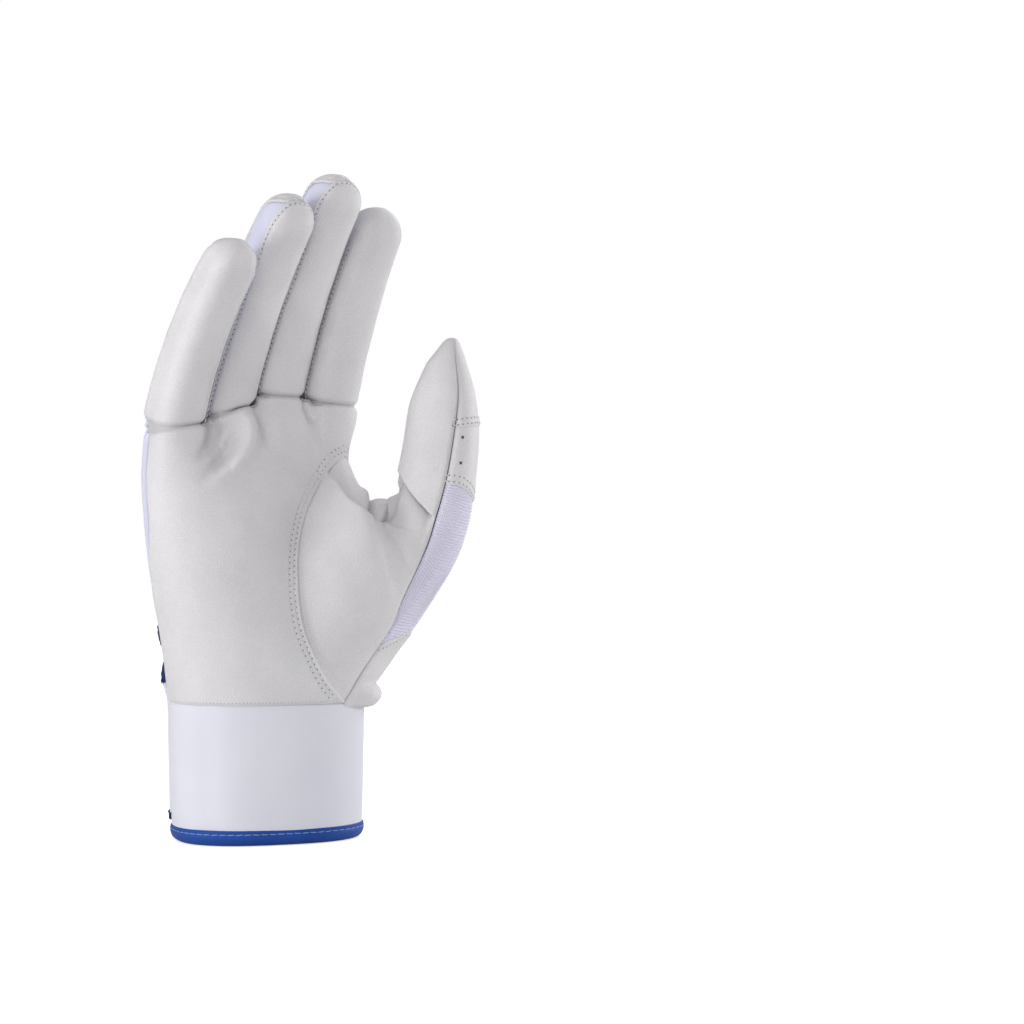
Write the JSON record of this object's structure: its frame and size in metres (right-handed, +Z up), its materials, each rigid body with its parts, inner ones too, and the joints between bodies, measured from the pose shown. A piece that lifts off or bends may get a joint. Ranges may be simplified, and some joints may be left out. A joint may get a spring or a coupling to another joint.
{
  "type": "batting glove",
  "caption": "Right-hand baseball batting glove of pebbled white leather with stretch side strips, a ribbed thumb panel, a neoprene cuff, blue bindings and a peel-back wrist strap",
  "frame": {"origin": "middle of the wrist opening, on the flat lower edge of the cuff's hem", "axes": "+Z up along the wrist to the fingertips, -Y is the way the palm faces, +X towards the thumb side"},
  "size_m": [0.1153, 0.0715, 0.2356],
  "materials": {
    "white_leather": "fine pebble grain, satin",
    "stretch_fabric": "matte stretch weave",
    "knit_mesh": "fine ribbed knit",
    "cuff_fabric": "matte neoprene face",
    "blue_binding": "woven tape",
    "closure_pad": "hook-and-loop pile"
  },
  "bodies": {
    "palm": {"palm_panel": "white_leather", "thenar_panel": "white_leather", "thumb_base_patch": "white_leather", "thumb_mesh_panel": "knit_mesh", "thumb_back_panel": "white_leather", "thumb_flex_gusset": "stretch_fabric", "hand_back_panel": "white_leather", "ulnar_mesh_panel": "knit_mesh", "back_trim": "blue_binding", "cuff_band": "cuff_fabric", "hem_binding": "blue_binding", "cuff_gusset": "stretch_fabric", "loop_pad": "closure_pad", "little_knuckle_gusset": "stretch_fabric", "ring_knuckle_gusset": "stretch_fabric", "middle_knuckle_gusset": "stretch_fabric", "index_knuckle_gusset": "stretch_fabric"},
    "little_base": {"little_base_front": "white_leather", "little_base_back": "white_leather", "little_base_outer_fourchette": "stretch_fabric"},
    "little_tip": {"little_tip_front": "white_leather", "little_tip_back": "white_leather", "little_tip_outer_fourchette": "stretch_fabric"},
    "ring_base": {"ring_base_front": "white_leather", "ring_base_back": "white_leather", "ring_base_outer_fourchette": "stretch_fabric", "ring_base_inner_fourchette": "stretch_fabric"},
    "ring_tip": {"ring_tip_front": "white_leather", "ring_tip_back": "white_leather", "ring_tip_outer_fourchette": "stretch_fabric", "ring_tip_inner_fourchette": "stretch_fabric"},
    "middle_base": {"middle_base_front": "white_leather", "middle_base_back": "white_leather", "middle_base_outer_fourchette": "stretch_fabric", "middle_base_inner_fourchette": "stretch_fabric"},
    "middle_tip": {"middle_tip_front": "white_leather", "middle_tip_back": "white_leather", "middle_tip_outer_fourchette": "stretch_fabric", "middle_tip_inner_fourchette": "stretch_fabric"},
    "index_base": {"index_base_front": "white_leather", "index_base_back": "white_leather", "index_base_inner_fourchette": "stretch_fabric"},
    "index_tip": {"index_tip_front": "white_leather", "index_tip_back": "white_leather", "index_tip_inner_fourchette": "stretch_fabric"},
    "thumb": {"thumb_front": "white_leather", "thumb_vent_panel": "white_leather", "thumb_tip_back": "white_leather"},
    "strap": {"wrist_strap": "cuff_fabric", "strap_binding_top": "blue_binding", "strap_binding_bottom": "blue_binding", "hook_pad": "closure_pad"}
  },
  "joints": [
    {"name": "little_knuckle_fold", "type": "hinge", "parent": "palm", "child": "little_base", "pos_m": [-0.0345, -0.00375, 0.1465], "axis": [1, 0, 0], "range_deg": [-18, 60], "deforming": ["little_knuckle_gusset"]},
    {"name": "little_middle_fold", "type": "hinge", "parent": "little_base", "child": "little_tip", "pos_m": [-0.03231, -0.01404, 0.17292], "axis": [1, 0, 0], "range_deg": [0, 75]},
    {"name": "ring_knuckle_fold", "type": "hinge", "parent": "palm", "child": "ring_base", "pos_m": [-0.0136, -0.00235, 0.1525], "axis": [1, 0, 0], "range_deg": [-18, 60], "deforming": ["ring_knuckle_gusset"]},
    {"name": "ring_middle_fold", "type": "hinge", "parent": "ring_base", "child": "ring_tip", "pos_m": [-0.01145, -0.01341, 0.1837], "axis": [1, 0, 0], "range_deg": [0, 75]},
    {"name": "middle_knuckle_fold", "type": "hinge", "parent": "palm", "child": "middle_base", "pos_m": [0.0084, -0.00215, 0.158], "axis": [1, 0, 0], "range_deg": [-18, 60], "deforming": ["middle_knuckle_gusset"]},
    {"name": "middle_middle_fold", "type": "hinge", "parent": "middle_base", "child": "middle_tip", "pos_m": [0.01062, -0.01287, 0.19048], "axis": [1, 0, 0], "range_deg": [0, 75]},
    {"name": "index_knuckle_fold", "type": "hinge", "parent": "palm", "child": "index_base", "pos_m": [0.0305, -0.00315, 0.1555], "axis": [1, 0, 0], "range_deg": [-18, 60], "deforming": ["index_knuckle_gusset"]},
    {"name": "index_middle_fold", "type": "hinge", "parent": "index_base", "child": "index_tip", "pos_m": [0.03248, -0.01173, 0.18495], "axis": [1, 0, 0], "range_deg": [0, 75]},
    {"name": "thumb_fold", "type": "hinge", "parent": "palm", "child": "thumb", "pos_m": [0.04796, -0.03535, 0.12304], "axis": [-0.775, 0.6055, 0.181], "range_deg": [-42, 0]},
    {"name": "strap_peel", "type": "hinge", "parent": "palm", "child": "strap", "pos_m": [0.0341, 0.0128, 0.032], "axis": [0, 0, -1], "range_deg": [0, 110]}
  ]
}
